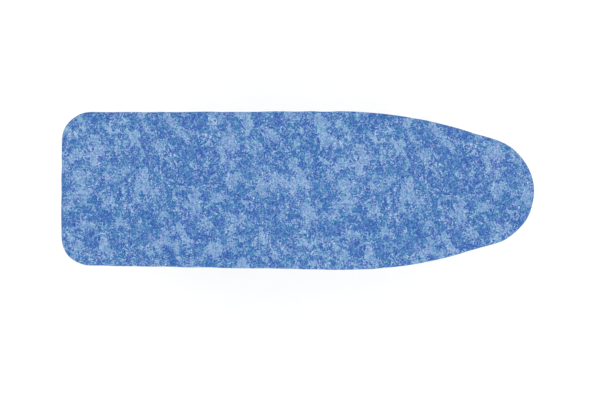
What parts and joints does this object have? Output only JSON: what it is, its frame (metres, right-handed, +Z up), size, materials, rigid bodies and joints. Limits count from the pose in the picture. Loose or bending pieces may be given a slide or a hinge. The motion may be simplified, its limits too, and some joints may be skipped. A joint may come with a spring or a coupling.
{
  "type": "folding ironing board",
  "caption": "Long padded board with a square tail and a tapered nose, a stretched printed cover and crossed folding legs held by a release brake.",
  "frame": {"origin": "on the floor, below the middle of the board, with the legs raised to their highest", "axes": "+X along the board towards its tapered nose, +Y across it to the left of someone looking at the nose, +Z up"},
  "size_m": [1.1399, 0.382, 0.87],
  "materials": {
    "printed_cotton": "plain-woven cotton with a mottled blue print",
    "braided_elastic": "flat braided elastic",
    "needled_felt": "needle-punched felt",
    "powder_coated_steel": "light grey powder coat, satin",
    "galvanised_steel": "galvanised sheet, satin",
    "zinc_plated_steel": "bright zinc plate",
    "hardened_steel": "hardened and blackened",
    "spring_steel": "drawn spring wire",
    "moulded_plastic": "fine-grained blue-grey plastic",
    "nylon": "natural nylon"
  },
  "bodies": {
    "top": {"cover": "printed_cotton", "hem_elastic": "braided_elastic", "felt_pad": "needled_felt", "deck": "powder_coated_steel", "rim_tube": "powder_coated_steel", "rim_ferrule": "galvanised_steel", "nose_brace": "powder_coated_steel", "brake_brace": "powder_coated_steel", "front_rail_brace": "powder_coated_steel", "rear_rail_brace": "powder_coated_steel", "guide_rail_left": "galvanised_steel", "guide_rail_right": "galvanised_steel", "leg_bracket_left": "powder_coated_steel", "leg_bracket_right": "powder_coated_steel", "hinge_bolts": "zinc_plated_steel", "hinge_nuts": "zinc_plated_steel", "hinge_washers": "nylon", "brake_housing": "galvanised_steel", "shaft_bearing": "galvanised_steel", "bracket_rivets": "zinc_plated_steel", "rail_rivets": "zinc_plated_steel", "brake_rivets": "zinc_plated_steel", "brake_spring": "spring_steel"},
    "outer_leg": {"outer_leg_tube_left": "powder_coated_steel", "outer_leg_tube_right": "powder_coated_steel", "outer_foot_tube": "powder_coated_steel", "outer_foot_cap_left": "moulded_plastic", "outer_foot_cap_right": "moulded_plastic", "outer_leg_plugs": "moulded_plastic", "crossing_bolts": "zinc_plated_steel", "crossing_nuts": "zinc_plated_steel", "crossing_spacers": "nylon"},
    "inner_leg": {"inner_leg_tube_left": "powder_coated_steel", "inner_leg_tube_right": "powder_coated_steel", "inner_leg_cross_tube": "powder_coated_steel", "inner_foot_tube": "powder_coated_steel", "inner_foot_cap_left": "moulded_plastic", "inner_foot_cap_right": "moulded_plastic", "inner_leg_plugs": "moulded_plastic", "slider_rod": "zinc_plated_steel", "slider_roller_left": "nylon", "slider_roller_right": "nylon", "slider_washer_left": "zinc_plated_steel", "slider_washer_right": "zinc_plated_steel", "slider_caps": "moulded_plastic"},
    "lock_rod_assembly": {"lock_rod": "zinc_plated_steel", "lock_rod_stop": "moulded_plastic"},
    "release_lever": {"lever_shaft": "zinc_plated_steel", "shaft_clip": "zinc_plated_steel", "clamp_plate": "hardened_steel", "lever_arm": "zinc_plated_steel", "lever_grip": "moulded_plastic"}
  },
  "joints": [
    {"name": "outer_leg_fold", "type": "hinge", "parent": "top", "child": "outer_leg", "pos_m": [0.265, 0, 0.822], "axis": [0, 1, 0], "range_deg": [0, 52.25]},
    {"name": "leg_crossing", "type": "hinge", "parent": "outer_leg", "child": "inner_leg", "pos_m": [0.03236, 0, 0.52154], "axis": [0, 1, 0], "range_deg": [-104.5, 0]},
    {"name": "lock_rod_eye", "type": "hinge", "parent": "inner_leg", "child": "lock_rod_assembly", "pos_m": [-0.20029, 0, 0.822], "axis": [0, 1, 0], "range_deg": [0, 52.25]},
    {"name": "lever_squeeze", "type": "hinge", "parent": "top", "child": "release_lever", "pos_m": [-0.06029, 0, 0.84], "axis": [0, 1, 0], "range_deg": [-6, 0], "stiffness_Nm_per_rad": 1.5, "springref_deg": 17.19, "deforming": ["brake_spring"]}
  ],
  "couplings": [
    {"joint": "leg_crossing", "follows": "outer_leg_fold", "ratio": -2},
    {"joint": "lock_rod_eye", "follows": "outer_leg_fold", "ratio": 1}
  ]
}
